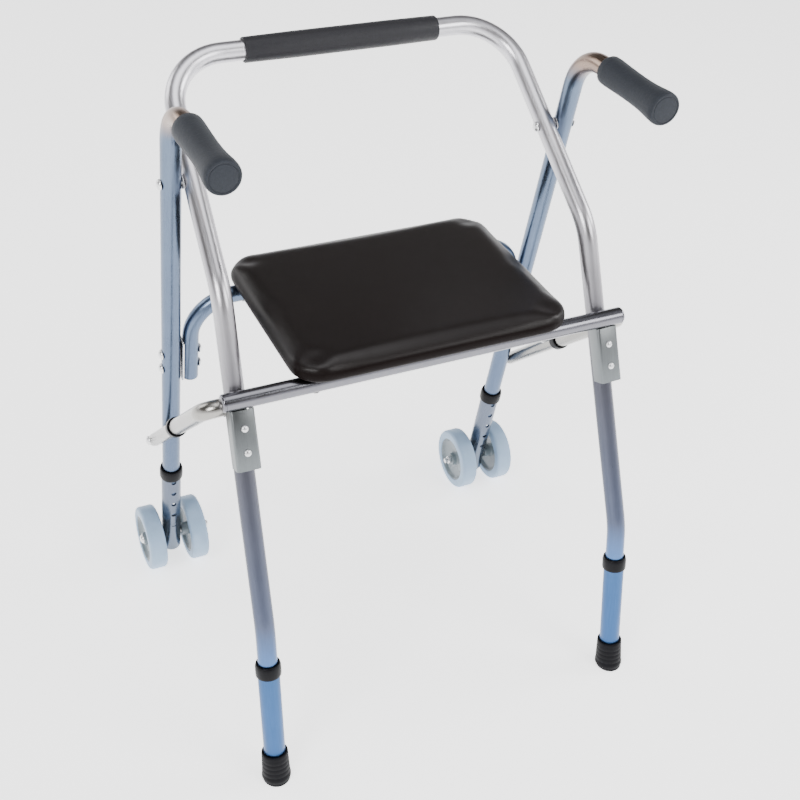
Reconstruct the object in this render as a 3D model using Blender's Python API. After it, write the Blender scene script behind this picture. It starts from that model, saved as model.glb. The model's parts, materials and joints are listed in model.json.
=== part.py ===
"""Folding walker with front wheels, rear rubber feet and a lift-up seat.

Metres, +Z up. The user stands on the -Y side and walks towards +Y, so the wheels are at +Y.
The origin is on the floor, in the middle of the walker's footprint box.
"""
import math

import bmesh
import bpy
from mathutils import Vector

# Driving dimensions, in metres.
TUBE_R = 0.0127            # one inch frame tube
TUBE_WALL = 0.0012
SLEEVE_R = 0.0143          # height-setting sleeve outside the frame tube
SLEEVE_BORE_R = 0.0133
BAR_R = 0.0111             # seat bars and outer strut tube
THIN_R = 0.0095            # inner strut tube
GAP = 0.0003               # clearance between touching pieces
HOLE_PITCH = 0.0254
HOLE_COUNT = 5
HOLE_R = 0.0038
SHANK_R = 0.003
SHANK_HOLE_R = 0.0036

FRONT_Y = -0.2418          # y of the rubber feet
WHEEL_R = 0.050
WHEEL_WIDTH = 0.026
WHEEL_SPREAD = 0.033       # from the pair's middle to each wheel's middle
WHEEL_PAIR_X = 0.2685

# Leg frame centreline on the +X side, as (x, distance behind the feet, height).
FOOT = (0.2625, 0.0, 0.0)
SHIN_BEND = (0.2606, 0.0446, 0.2376)
KNEE_BEND = (0.2490, 0.2160, 0.6290)
TOP_CORNER = (0.2345, 0.4635, 0.8150)
LEG_BEND_RADII = (0.150, 0.090, 0.075)
LEG_TUBE_END = 0.28        # share of the way from the foot to the shin bend

# Handle tube: it leans forward from the axle, in a plane of constant x.
HANDLE_X = 0.2695
AXLE_BACK = 0.4535
AXLE_Z = WHEEL_R
LEAN = -0.1788             # metres back per metre up
GRIP_Z = 0.8250
GRIP_REAR = 0.2520
GRIP_LENGTH = 0.1240
HANDLE_BEND_R = 0.060

SEAT_BAR_Z = 0.5240
SEAT_BAR_BACK = AXLE_BACK + LEAN * (SEAT_BAR_Z - AXLE_Z)
FRONT_BAR_BACK = 0.1447
FRONT_BAR_Z = 0.5268
FRONT_BAR_HALF = 0.2720
BOARD_Z = 0.5385
SEAT_HALF_WIDTH = 0.1900
SEAT_FRONT = 0.1175
SEAT_REAR = 0.4035
SEAT_TOP_Z = 0.5690
SEAT_CORNER = 0.0480
BOARD_INSET = 0.0130        # from the cushion's outline to the board's
BOARD_THICKNESS = 0.0095
BAR_BOLT_HEIGHTS = (0.4140, 0.4400)
SEAT_BAR_X = HANDLE_X - TUBE_R - 0.0030 - BAR_R

STRUT_X = 0.2920
STRUT_FRONT = (0.1628, 0.5075)     # back and height of the hinge on the leg
STRUT_REAR = (0.4133, 0.2745)      # back and height of the bolt on the handle tube
STRUT_OUTER_LENGTH = 0.1810
STRUT_OVERLAP = 0.0500
STRUT_END = 0.0140                 # inner tube past its bolt
BRACKET_HALF = 0.0153              # half the width of the brackets on the legs

ROUND = 12                          # sides of a tube
WHEEL_SIDES = 20
SIDES = (("left", -1), ("right", 1))


def point(x, back, z):
    """A point from its x, its distance behind the feet and its height."""
    return Vector((x, FRONT_Y + back, z))


def mirrored(points, side):
    return [Vector((side * p.x, p.y, p.z)) for p in points]


def handle_point(side, z):
    """The point of the handle tube's straight centreline at a height."""
    return point(side * HANDLE_X, AXLE_BACK + LEAN * (z - AXLE_Z), z)


HANDLE_UP = Vector((0.0, LEAN, 1.0)).normalized()
HANDLE_FORWARD = Vector((0.0, -1.0, LEAN)).normalized()


def leg_line(side):
    """Foot, shin bend, knee bend and top corner of one side of the leg frame."""
    return mirrored([point(*FOOT), point(*SHIN_BEND), point(*KNEE_BEND), point(*TOP_CORNER)], side)


# Scene, materials and bodies.

def clear_scene():
    for item in list(bpy.data.objects):
        bpy.data.objects.remove(item)


def make_material(name, colour, roughness, metallic):
    material = bpy.data.materials.new(name)
    material.use_nodes = True
    shader = material.node_tree.nodes["Principled BSDF"]
    shader.inputs["Base Color"].default_value = (*colour, 1.0)
    shader.inputs["Roughness"].default_value = roughness
    shader.inputs["Metallic"].default_value = metallic
    return material


def make_body(name, location=(0.0, 0.0, 0.0)):
    """An empty on a moving piece's joint axis, which its pieces are parented to."""
    empty = bpy.data.objects.new(name, None)
    empty.location = location
    bpy.context.collection.objects.link(empty)
    return empty


def add_piece(name, bm, material, body, smooth=True):
    """A named object from a mesh given in world coordinates."""
    bmesh.ops.recalc_face_normals(bm, faces=bm.faces)
    if body is not None:
        bmesh.ops.translate(bm, verts=bm.verts, vec=-Vector(body.location))
    mesh = bpy.data.meshes.new(name)
    bm.to_mesh(mesh)
    bm.free()
    mesh.materials.append(material)
    if smooth:
        mesh.shade_smooth()
        mesh.set_sharp_from_angle(angle=math.radians(40))
    piece = bpy.data.objects.new(name, mesh)
    piece.parent = body
    bpy.context.collection.objects.link(piece)
    return piece


def add_boolean(piece, tool, operation):
    tool.hide_render = True
    tool.display_type = "WIRE"
    modifier = piece.modifiers.new(tool.name, "BOOLEAN")
    modifier.operation = operation
    modifier.solver = "EXACT"
    modifier.object = tool


# Shapes. Each returns a bmesh in world coordinates.

def rounded_path(corners, radii, steps):
    """Straight runs with each inner corner turned on an arc of its radius."""
    path = [corners[0].copy()]
    for before, corner, after, radius, count in zip(corners, corners[1:], corners[2:], radii, steps):
        back = (before - corner).normalized()
        ahead = (after - corner).normalized()
        half = back.angle(ahead) / 2
        reach = radius / math.tan(half)
        centre = corner + (back + ahead).normalized() * radius / math.sin(half)
        start = corner + back * reach - centre
        end = corner + ahead * reach - centre
        turn = start.angle(end)
        for step in range(count + 1):
            share = step / count
            arm = start * math.sin((1 - share) * turn) + end * math.sin(share * turn)
            path.append(centre + arm / math.sin(turn))
    path.append(corners[-1].copy())
    return path


def path_frames(path, reference):
    """Two unit vectors across the path at each point, carried along without twist."""
    frames = []
    across = None
    for index, here in enumerate(path):
        before = path[max(index - 1, 0)]
        after = path[min(index + 1, len(path) - 1)]
        along = ((here - before).normalized() + (after - here).normalized()).normalized()
        across = reference if across is None else across
        across = (across - along * across.dot(along)).normalized()
        frames.append((across, along.cross(across)))
    return frames


def ring(bm, centre, across, up, radius, sides):
    corners = []
    for index in range(sides):
        angle = math.tau * index / sides
        corners.append(bm.verts.new(centre + (across * math.cos(angle) + up * math.sin(angle)) * radius))
    return corners


def bridge(bm, first, second):
    """Quads between two closed loops of the same length."""
    count = len(first)
    for index in range(count):
        after = (index + 1) % count
        bm.faces.new((first[index], first[after], second[after], second[index]))


def swept_tube(path, radius, wall, sides=ROUND, reference=Vector((1, 0, 0))):
    """An open-ended tube along a path."""
    bm = bmesh.new()
    frames = path_frames(path, reference)
    outer = [ring(bm, p, a, u, radius, sides) for p, (a, u) in zip(path, frames)]
    inner = [ring(bm, p, a, u, radius - wall, sides) for p, (a, u) in zip(path, frames)]
    for rings in (outer, inner):
        for first, second in zip(rings, rings[1:]):
            bridge(bm, first, second)
    bridge(bm, outer[0], inner[0])
    bridge(bm, outer[-1], inner[-1])
    return bm


def turned(profile, origin, axis, sides=ROUND, reference=Vector((1, 0, 0))):
    """A turned solid. The profile is (radius, distance along the axis) points.

    A profile that starts and ends on the axis makes a solid; any other is a closed loop.
    """
    bm = bmesh.new()
    axis = axis.normalized()
    across = reference - axis * reference.dot(axis)
    if across.length < 0.1:
        across = Vector((0, 0, 1)) - axis * axis.z
    across.normalize()
    up = axis.cross(across)
    rows = []
    for radius, along in profile:
        centre = origin + axis * along
        if radius == 0:
            rows.append([bm.verts.new(centre)])
        else:
            rows.append(ring(bm, centre, across, up, radius, sides))
    pairs = list(zip(rows, rows[1:]))
    if len(rows[0]) > 1:
        pairs.append((rows[-1], rows[0]))
    for first, second in pairs:
        if len(first) == 1 or len(second) == 1:
            pole, loop = (first[0], second) if len(first) == 1 else (second[0], first)
            for index in range(sides):
                bm.faces.new((pole, loop[index], loop[(index + 1) % sides]))
        else:
            bridge(bm, first, second)
    return bm


def pipe(outer, inner, start, end, origin, axis, sides=ROUND, chamfer=0.0):
    """A straight pipe along an axis, with its outer end edges chamfered."""
    profile = [(inner, start), (outer - chamfer, start), (outer, start + chamfer),
               (outer, end - chamfer), (outer - chamfer, end), (inner, end)]
    if chamfer == 0:
        profile = [(inner, start), (outer, start), (outer, end), (inner, end)]
    return turned(profile, origin, axis, sides)


def drill(name, centre, axis, radius, reach):
    """A hidden cutter for a round hole."""
    profile = [(0, -reach), (radius, -reach), (radius, reach), (0, reach)]
    bm = turned(profile, centre, axis, 8, Vector((0.3, 0.5, 0.8)))
    return add_piece(name, bm, FINISH["steel"], None)


def prism(outline, origin, x_axis, y_axis, depth):
    """An outline in the plane of two axes, extruded along their cross product."""
    bm = bmesh.new()
    away = x_axis.cross(y_axis).normalized() * depth
    low = [bm.verts.new(origin + x_axis * x + y_axis * y) for x, y in outline]
    high = [bm.verts.new(vert.co + away) for vert in low]
    bridge(bm, low, high)
    bm.faces.new(low)
    bm.faces.new(high)
    return bm


def rounded_loop(half_x, front, rear, corner, z, steps=5):
    """A rectangle with round corners, as world points, front and rear measured behind the feet."""
    corners = ((half_x, rear, 0.0), (-half_x, rear, 0.25), (-half_x, front, 0.5), (half_x, front, 0.75))
    points = []
    for x, back, turn in corners:
        centre_x = x - math.copysign(corner, x)
        centre_y = back + (corner if back == front else -corner)
        for step in range(steps + 1):
            angle = math.tau * (turn + 0.25 * step / steps)
            across, along = corner * math.cos(angle), corner * math.sin(angle)
            points.append(point(centre_x + across, centre_y + along, z))
    return points


def lofted(loops):
    """A closed solid through a row of loops of the same length."""
    bm = bmesh.new()
    rows = [[bm.verts.new(p) for p in loop] for loop in loops]
    for first, second in zip(rows, rows[1:]):
        bridge(bm, first, second)
    bm.faces.new(rows[0])
    bm.faces.new(rows[-1])
    return bm


def dome(radius, height, start, direction):
    """Profile points of a domed head, from its rim to its crown on the axis."""
    return [(radius, start), (radius, start + direction * height * 0.3),
            (radius * 0.72, start + direction * height * 0.78), (0, start + direction * height)]


def rivet(centre, low, high, head_r, head_height, shank_r=SHANK_R):
    """A rivet along +X with a domed head outside each of two x positions from its centre."""
    profile = list(reversed(dome(head_r, head_height, low, -1)))
    profile += [(shank_r, low), (shank_r, high)]
    profile += dome(head_r, head_height, high, 1)
    return turned(profile, centre, Vector((1, 0, 0)), 10)


# Leg frame: the bent tube with the backrest bar, its brackets and its foam.

def leg_frame_path():
    left, right = leg_line(-1), leg_line(1)
    start = left[0].lerp(left[1], LEG_TUBE_END)
    end = right[0].lerp(right[1], LEG_TUBE_END)
    corners = [start, *left[1:], *reversed(right[1:]), end]
    radii = (*LEG_BEND_RADII, *reversed(LEG_BEND_RADII))
    return rounded_path(corners, radii, (2, 3, 5, 5, 3, 2))


def leg_point_at(side, z):
    """A point of the leg's centreline between the shin bend and the knee bend."""
    _, shin, knee, _ = leg_line(side)
    return shin.lerp(knee, (z - shin.z) / (knee.z - shin.z))


def pivot_centre():
    """Where the leg frame and the handle tubes cross, as distance back and height."""
    slope = (TOP_CORNER[1] - KNEE_BEND[1]) / (TOP_CORNER[2] - KNEE_BEND[2])
    z = (AXLE_BACK - LEAN * AXLE_Z - KNEE_BEND[1] + slope * KNEE_BEND[2]) / (slope - LEAN)
    return AXLE_BACK + LEAN * (z - AXLE_Z), z


def leg_x_at_pivot():
    share = (pivot_centre()[1] - KNEE_BEND[2]) / (TOP_CORNER[2] - KNEE_BEND[2])
    return KNEE_BEND[0] + (TOP_CORNER[0] - KNEE_BEND[0]) * share


def build_leg_frame(body):
    tube = swept_tube(leg_frame_path(), TUBE_R, TUBE_WALL)
    frame = add_piece("backrest_frame", tube, FINISH["tube"], body)
    across = Vector((1, 0, 0))
    pivot = point(0, *pivot_centre())
    add_boolean(frame, drill("cut_leg_pivot", pivot, across, SHANK_HOLE_R, 0.30), "DIFFERENCE")
    strut = point(0, *STRUT_FRONT)
    add_boolean(frame, drill("cut_leg_strut", strut, across, SHANK_HOLE_R, 0.30), "DIFFERENCE")
    for word, side in SIDES:
        hole, normal = button_place("foot", side)
        add_boolean(frame, drill(f"cut_foot_button_{word}", hole + normal * TUBE_R, normal,
                                 HOLE_R, 0.004), "DIFFERENCE")
    foam_r, foam_bore, foam_half, soft_edge = 0.0165, 0.0134, 0.1335, 0.0020
    bar = point(0, TOP_CORNER[1], TOP_CORNER[2])
    foam = pipe(foam_r, foam_bore, -foam_half, foam_half, bar, across, ROUND, soft_edge)
    add_piece("backrest_foam", foam, FINISH["foam"], body)
    for word, side in SIDES:
        build_leg_bracket(word, side, body)
        build_strut_stud(word, side, body)


def leg_axes(side):
    """Down, across and forward unit vectors of the leg below the knee."""
    _, shin, knee, _ = leg_line(side)
    down = (shin - knee).normalized()
    across = (Vector((1, 0, 0)) - down * down.x).normalized()
    forward = across.cross(down)
    if forward.y > 0:
        forward = -forward
    return down, across, forward


def build_leg_bracket(word, side, body):
    """A channel riveted round the front of the leg, whose top edge carries the seat's front bar."""
    length, plate, wrap, corner = 0.075, 0.0016, 0.0045, 0.004
    half_outer, half_inner = BRACKET_HALF, BRACKET_HALF - 0.0017
    face = 0.0266
    inside = face - plate
    down, across, forward = leg_axes(side)
    bar = point(side * leg_line(1)[2].x, FRONT_BAR_BACK, FRONT_BAR_Z)
    knee = leg_line(side)[2]
    level = (bar - knee).dot(down) + BAR_R + 4 * GAP
    origin = knee + down * level
    inset = corner * 0.3
    bend = [(half_outer, face - corner), (half_outer - inset, face - inset), (half_outer - corner, face)]
    outline = [(half_outer, wrap), *bend, *[(-x, y) for x, y in reversed(bend)], (-half_outer, wrap),
               (-half_inner, wrap), (-half_inner, inside), (half_inner, inside), (half_inner, wrap)]
    direction = across.cross(forward)
    depth = length if direction.dot(down) > 0 else -length
    bracket = add_piece(f"leg_bracket_{word}", prism(outline, origin, across, forward, depth),
                        FINISH["tube"], body, smooth=False)
    head_r, head_height, root = 0.0045, 0.0022, 0.0008
    for number, distance in enumerate((0.023, 0.053)):
        centre = origin + down * distance + forward * (face - root)
        profile = [(0, 0)] + dome(head_r, head_height + root, 0, 1)
        head_mesh = turned(profile, centre, forward, 10)
        head = add_piece(f"add_rivet_{word}_{number}", head_mesh, FINISH["steel"], None)
        add_boolean(bracket, head, "UNION")


def build_strut_stud(word, side, body):
    """The stud that passes through the leg and holds the strut's elbow."""
    leg_x = abs(leg_point_at(side, STRUT_FRONT[1]).x)
    inside, outside = leg_x - TUBE_R - GAP, leg_x + BRACKET_HALF + 0.0010
    head_r, head_height, boss_r, boss_length = 0.0042, 0.004, 0.0080, 0.004
    profile = list(reversed(dome(head_r, head_height, inside, -1)))
    profile += [(SHANK_R, inside), (SHANK_R, outside + 0.001), (boss_r, outside + 0.001),
                (boss_r, outside + boss_length), (0, outside + boss_length)]
    profile = [(radius, side * along) for radius, along in profile]
    stud = turned(profile, point(0, *STRUT_FRONT), Vector((1, 0, 0)), 10)
    add_piece(f"strut_stud_{word}", stud, FINISH["steel"], body)


# Height-setting sleeves, their collars and their snap buttons.

SLEEVES = {
    # name: foot end and mouth, as height of the centreline; first hole; button hole; facing
    "foot": {"low": 0.0103, "mouth": 0.1830, "first_hole": 0.1640, "button": 2},
    "wheel": {"low": 0.0220, "mouth": 0.2010, "first_hole": 0.1835, "button": 2},
}


def sleeve_axis(kind, side):
    """Foot point, unit vector up the sleeve and unit vector towards its row of holes."""
    if kind == "wheel":
        return handle_point(side, 0.0), HANDLE_UP.copy(), HANDLE_FORWARD.copy()
    foot, shin, _, _ = leg_line(side)
    up = (shin - foot).normalized()
    rear = (Vector((0, 1, 0)) - up * up.y).normalized()
    return foot, up, rear


def sleeve_point(kind, side, z):
    base, up, _ = sleeve_axis(kind, side)
    return base + up * ((z - base.z) / up.z)


def button_place(kind, side):
    """The snap button's place on the sleeve's axis and the way it points."""
    _, up, facing = sleeve_axis(kind, side)
    first = sleeve_point(kind, side, SLEEVES[kind]["first_hole"])
    return first - up * HOLE_PITCH * SLEEVES[kind]["button"], facing


def build_sleeve(kind, word, side, body, finish):
    size = SLEEVES[kind]
    base, up, facing = sleeve_axis(kind, side)
    low = (size["low"] - base.z) / up.z
    mouth = (size["mouth"] - base.z) / up.z
    tube = pipe(SLEEVE_R, SLEEVE_BORE_R, low, mouth, base, up)
    sleeve = add_piece(f"{kind}_sleeve_{word}", tube, finish, body)
    first = sleeve_point(kind, side, size["first_hole"])
    for number in range(HOLE_COUNT):
        centre = first - up * HOLE_PITCH * number + facing * SLEEVE_R
        hole = drill(f"cut_{kind}_{word}_{number}", centre, facing, HOLE_R, 0.004)
        add_boolean(sleeve, hole, "DIFFERENCE")
    skirt_bore, skirt_r, lip_bore, lip_r, skirt, lip = 0.0150, 0.0168, 0.0134, 0.0158, 0.013, 0.006
    profile = [(skirt_bore, -skirt), (skirt_r - 0.0006, -skirt), (skirt_r, -skirt + 0.002),
               (skirt_r, 0.002),
               (lip_r, lip), (lip_bore, lip), (lip_bore, GAP), (skirt_bore, GAP)]
    collar = turned(profile, base + up * mouth, up)
    add_piece(f"{kind}_collar_{word}", collar, FINISH["black"], body)
    return sleeve


def build_snap_button(kind, word, side, body):
    """A round-headed pin in the inner tube. Its head stops just inside the sleeve's wall."""
    centre, facing = button_place(kind, side)
    head_r, flange_r, root, flange, crown = 0.0032, 0.0042, 0.0082, 0.0096, 0.0128
    profile = [(0, root), (flange_r, root), (flange_r, flange), (head_r, flange), (head_r, crown - 0.0008),
               (head_r * 0.6, crown), (0, crown)]
    add_piece(f"{kind}_button_{word}", turned(profile, centre, facing, 10), FINISH["steel"], body)


def build_rubber_tip(word, side, body):
    """The foot: a tapered rubber cup with a flared base cut level with the floor."""
    foot, up, _ = sleeve_axis("foot", side)
    below, height, floor, bore = -0.012, 0.045, 0.0100, 0.0149
    profile = [(0, below), (0.0196, below), (0.0196, 0.006), (0.0188, 0.011), (0.0184, 0.020),
               (0.0178, height - 0.002), (0.0172, height), (bore, height), (bore, floor), (0, floor)]
    bm = turned(profile, foot, up)
    cut = bmesh.ops.bisect_plane(bm, geom=[*bm.verts, *bm.edges, *bm.faces], plane_co=(0, 0, 0),
                                 plane_no=(0, 0, -1), clear_outer=True)
    rim = [item for item in cut["geom_cut"] if isinstance(item, bmesh.types.BMEdge)]
    bmesh.ops.edgenet_fill(bm, edges=rim)
    add_piece(f"rubber_tip_{word}", bm, FINISH["rubber"], body)


# Handle frame: the two handle tubes, their grips and the rear seat bar.

def build_handle(word, side, body):
    across = Vector((1, 0, 0))
    low_z, tube_end = 0.1080, GRIP_REAR - GRIP_LENGTH + 0.0130
    corner = handle_point(side, GRIP_Z)
    end = point(side * HANDLE_X, tube_end, GRIP_Z)
    path = rounded_path([handle_point(side, low_z), corner, end], (HANDLE_BEND_R,), (5,))
    tube = add_piece(f"handle_tube_{word}", swept_tube(path, TUBE_R, TUBE_WALL), FINISH["tube"], body)
    pivot = point(side * HANDLE_X, *pivot_centre())
    add_boolean(tube, drill(f"cut_handle_pivot_{word}", pivot, across, SHANK_HOLE_R, 0.03), "DIFFERENCE")
    for number, z in enumerate(BAR_BOLT_HEIGHTS):
        hole = drill(f"cut_handle_bolt_{word}_{number}", handle_point(side, z), across, SHANK_HOLE_R, 0.03)
        add_boolean(tube, hole, "DIFFERENCE")
    centre, normal = button_place("wheel", side)
    hole = drill(f"cut_wheel_button_{word}", centre + normal * TUBE_R, normal, HOLE_R, 0.004)
    add_boolean(tube, hole, "DIFFERENCE")

    bore, wall_end = 0.0134, GRIP_LENGTH - 0.0120
    profile = [(bore, 0), (0.0172, 0), (0.0186, 0.003), (0.0188, 0.012), (0.0180, 0.035), (0.0176, 0.065),
               (0.0184, 0.090), (0.0204, 0.110), (0.0208, 0.117), (0.0196, GRIP_LENGTH), (0, GRIP_LENGTH),
               (0, wall_end), (bore, wall_end)]
    grip = turned_cup(profile, point(side * HANDLE_X, GRIP_REAR, GRIP_Z), Vector((0, -1, 0)))
    add_piece(f"handle_grip_{word}", grip, FINISH["grip"], body)


def turned_cup(profile, origin, axis):
    """A turned cup: the profile leaves the axis at its outer floor and returns at its inner floor."""
    outer = next(index for index, (radius, _) in enumerate(profile) if radius == 0)
    ordered = profile[outer + 1:] + profile[:outer + 1]
    return turned(ordered, origin, axis)


def seat_bar_point(side, z):
    base = handle_point(side, z)
    return Vector((side * SEAT_BAR_X, base.y, z))


def build_rear_bar(body):
    bend_r, low_z = 0.060, 0.3910
    corners = [seat_bar_point(-1, low_z), seat_bar_point(-1, SEAT_BAR_Z),
               seat_bar_point(1, SEAT_BAR_Z), seat_bar_point(1, low_z)]
    path = rounded_path(corners, (bend_r, bend_r), (4, 4))
    bar = add_piece("rear_seat_bar", swept_tube(path, BAR_R, TUBE_WALL), FINISH["tube"], body)
    for number, z in enumerate(BAR_BOLT_HEIGHTS):
        hole = drill(f"cut_bar_bolt_{number}", handle_point(0, z), Vector((1, 0, 0)), SHANK_HOLE_R, 0.30)
        add_boolean(bar, hole, "DIFFERENCE")
    for word, side in SIDES:
        build_bar_mount(word, side, body)


def build_bar_mount(word, side, body):
    """A spacer plate between handle tube and seat bar, with the two bolts through all three."""
    half_width, half_height, thickness = 0.011, 0.036, 0.0024
    middle = handle_point(side, sum(BAR_BOLT_HEIGHTS) / 2)
    plate_x = HANDLE_X - TUBE_R - GAP - thickness
    outline = [(-half_width, -half_height), (half_width, -half_height), (half_width, half_height),
               (-half_width, half_height)]
    away = HANDLE_FORWARD.cross(HANDLE_UP)
    near_x = plate_x if away.x * side > 0 else plate_x + thickness
    origin = Vector((side * near_x, middle.y, middle.z))
    plate_bm = prism(outline, origin, HANDLE_FORWARD, HANDLE_UP, thickness)
    plate = add_piece(f"bar_mount_{word}", plate_bm, FINISH["steel"], body, smooth=False)
    low = SEAT_BAR_X - BAR_R - GAP
    high = HANDLE_X + TUBE_R + GAP
    for number, z in enumerate(BAR_BOLT_HEIGHTS):
        centre = handle_point(0, z)
        ends = (low, high) if side > 0 else (-high, -low)
        bolt_mesh = rivet(centre, *ends, 0.0055, 0.0038)
        bolt = add_piece(f"add_bolt_{word}_{number}", bolt_mesh, FINISH["steel"], None)
        add_boolean(plate, bolt, "UNION")


def build_pivot(word, side, body):
    """The rivet that the leg frame swings on, with a washer between the two tubes."""
    leg_x = leg_x_at_pivot()
    low, high = leg_x - TUBE_R - 0.0006, HANDLE_X + TUBE_R + GAP
    ends = (low, high) if side > 0 else (-high, -low)
    centre = point(0, *pivot_centre())
    add_piece(f"pivot_rivet_{word}", rivet(centre, *ends, 0.0068, 0.0048), FINISH["steel"], body)
    washer_r, near, far = 0.0095, leg_x + TUBE_R + 0.0009, HANDLE_X - TUBE_R - GAP
    profile = [(SHANK_HOLE_R, side * near), (washer_r, side * near), (washer_r, side * far),
               (SHANK_HOLE_R, side * far)]
    add_piece(f"pivot_washer_{word}", turned(profile, centre, Vector((1, 0, 0))), FINISH["steel"], body)


# Wheel legs: axle, nut and two wheels on each.

def build_axle(word, side, body):
    inner_face = WHEEL_PAIR_X - WHEEL_SPREAD - WHEEL_WIDTH / 2
    outer_face = WHEEL_PAIR_X + WHEEL_SPREAD + WHEEL_WIDTH / 2
    axle_r, tail, head_r, head_height, nut_r, nut_width = 0.004, 0.0115, 0.0070, 0.0050, 0.0070, 0.0065
    centre = point(0, AXLE_BACK, AXLE_Z)
    across = Vector((1, 0, 0))
    profile = [(0, inner_face - tail), (axle_r, inner_face - tail), (axle_r, outer_face + GAP)]
    profile += dome(head_r, head_height, outer_face + GAP, 1)
    axle = turned([(r, side * a) for r, a in profile], centre, across)
    add_piece(f"axle_bolt_{word}", axle, FINISH["steel"], body)
    near, far = inner_face - GAP, inner_face - GAP - nut_width
    bore = (axle_r + GAP) / math.cos(math.pi / 6)
    nut = [(bore, side * near), (nut_r, side * near), (nut_r, side * far), (bore, side * far)]
    add_piece(f"axle_nut_{word}", turned(nut, centre, across, 6), FINISH["steel"], body, smooth=False)


def build_wheel(word, place, side, body):
    """One wheel: a pale tread ring pressed on a darker dished hub."""
    direction = 1 if place == "outer" else -1
    middle = WHEEL_PAIR_X + direction * WHEEL_SPREAD
    half, tread_bore = WHEEL_WIDTH / 2, 0.0365
    centre = point(side * middle, AXLE_BACK, AXLE_Z)
    away = Vector((side * direction, 0, 0))
    shoulder = 0.004
    tread = [(tread_bore, -half), (WHEEL_R - shoulder, -half), (WHEEL_R - 0.001, -half + shoulder * 0.6),
             (WHEEL_R, -half + shoulder * 1.6), (WHEEL_R, half - shoulder * 1.6),
             (WHEEL_R - 0.001, half - shoulder * 0.6), (WHEEL_R - shoulder, half), (tread_bore, half)]
    name = f"{word}_{place}"
    add_piece(f"wheel_tread_{name}", turned(tread, centre, away, WHEEL_SIDES), FINISH["tread"], body)
    sleeve_face = abs(middle - HANDLE_X) - SLEEVE_R - 0.0006
    bore, boss_r, dish, dish_r = 0.0043, 0.0095, 0.0045, 0.0335
    rim_r = tread_bore - GAP
    hub = [(bore, -sleeve_face), (boss_r, -sleeve_face), (boss_r, -dish), (dish_r, -dish),
           (rim_r, -half + 0.001), (rim_r, half - 0.001), (dish_r, dish), (boss_r, dish),
           (boss_r, half), (bore, half)]
    add_piece(f"wheel_hub_{name}", turned(hub, centre, away, WHEEL_SIDES), FINISH["hub"], body)


# Seat: board, cushion, front bar and hinge clips, all turning about the rear bar.

def seat_loop(inset, z):
    """The seat's outline, drawn in by an inset, at a height."""
    corner = max(SEAT_CORNER - inset, 0.020)
    return rounded_loop(SEAT_HALF_WIDTH - inset, SEAT_FRONT + inset, SEAT_REAR - inset, corner, z)


def build_seat(body):
    top = BOARD_Z + BOARD_THICKNESS
    board_loops = [seat_loop(BOARD_INSET, z) for z in (BOARD_Z, top)]
    board = add_piece("seat_board", lofted(board_loops), FINISH["board"], body, smooth=False)

    recess = BOARD_INSET - 0.0010
    hem = BOARD_Z + 0.0025
    loops = [seat_loop(recess, top + GAP), seat_loop(recess, hem + 0.0005), seat_loop(0.006, hem),
             seat_loop(0.001, hem + 0.0045), seat_loop(0, hem + 0.0115),
             seat_loop(0.004, SEAT_TOP_Z - 0.006), seat_loop(0.014, SEAT_TOP_Z - 0.001),
             seat_loop(0.040, SEAT_TOP_Z)]
    add_piece("seat_cushion", lofted(loops), FINISH["cushion"], body)

    ends = [point(x, FRONT_BAR_BACK, FRONT_BAR_Z) for x in (-FRONT_BAR_HALF, FRONT_BAR_HALF)]
    tube = swept_tube(ends, BAR_R, TUBE_WALL, reference=Vector((0, 0, 1)))
    bar = add_piece("seat_front_bar", tube, FINISH["tube"], body)
    for word, side in SIDES:
        build_seat_side(word, side, body, board, bar)


def build_seat_side(word, side, body, board, bar):
    across = Vector((side, 0, 0))
    up = Vector((0, 0, 1))
    end = point(side * FRONT_BAR_HALF, FRONT_BAR_BACK, FRONT_BAR_Z)
    plug = [(0, -0.008), (0.0094, -0.008), (0.0094, GAP), (BAR_R, GAP), (BAR_R - 0.0006, 0.0020),
            (BAR_R - 0.0030, 0.0036), (0, 0.0042)]
    add_piece(f"bar_cap_{word}", turned(plug, end, across), FINISH["cap"], body)

    bolt_x, shank_r, hole_r, reach, head = 0.1580, 0.0025, 0.0031, 0.0065, 0.0034
    low = FRONT_BAR_Z - BAR_R - GAP
    foot = point(side * bolt_x, FRONT_BAR_BACK, low)
    length = BOARD_Z + reach - low
    profile = [(0, -head), (0.0038, -head * 0.75), (0.0052, 0), (shank_r, 0), (shank_r, length),
               (0, length)]
    add_piece(f"seat_bolt_{word}", turned(profile, foot, up, 10), FINISH["steel"], body)
    bar_axis = point(side * bolt_x, FRONT_BAR_BACK, FRONT_BAR_Z)
    bar_hole = drill(f"cut_bar_seat_{word}", bar_axis, up, hole_r, 0.02)
    add_boolean(bar, bar_hole, "DIFFERENCE")
    board_face = point(side * bolt_x, FRONT_BAR_BACK, BOARD_Z)
    blind = drill(f"cut_board_{word}", board_face, up, hole_r, reach + 0.0008)
    add_boolean(board, blind, "DIFFERENCE")

    clip_x, half, ring_r, ring_bore = 0.1620, 0.012, 0.0133, 0.0118
    flange_top = BOARD_Z - GAP
    centre = point(side * clip_x, SEAT_BAR_BACK, SEAT_BAR_Z)
    clip = add_piece(f"seat_clip_{word}", pipe(ring_r, ring_bore, -half, half, centre, Vector((1, 0, 0))),
                     FINISH["steel"], body)
    flange_low, reach_y = 0.0125, 0.022
    outline = [(-half, -reach_y), (half, -reach_y), (half, reach_y), (-half, reach_y)]
    origin = Vector((centre.x, centre.y, SEAT_BAR_Z + flange_low))
    flange_bm = prism(outline, origin, Vector((1, 0, 0)), Vector((0, 1, 0)), flange_top - origin.z)
    add_boolean(clip, add_piece(f"add_flange_{word}", flange_bm, FINISH["steel"], None), "UNION")


# Telescopic struts from the legs to the handle tubes.

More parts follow.
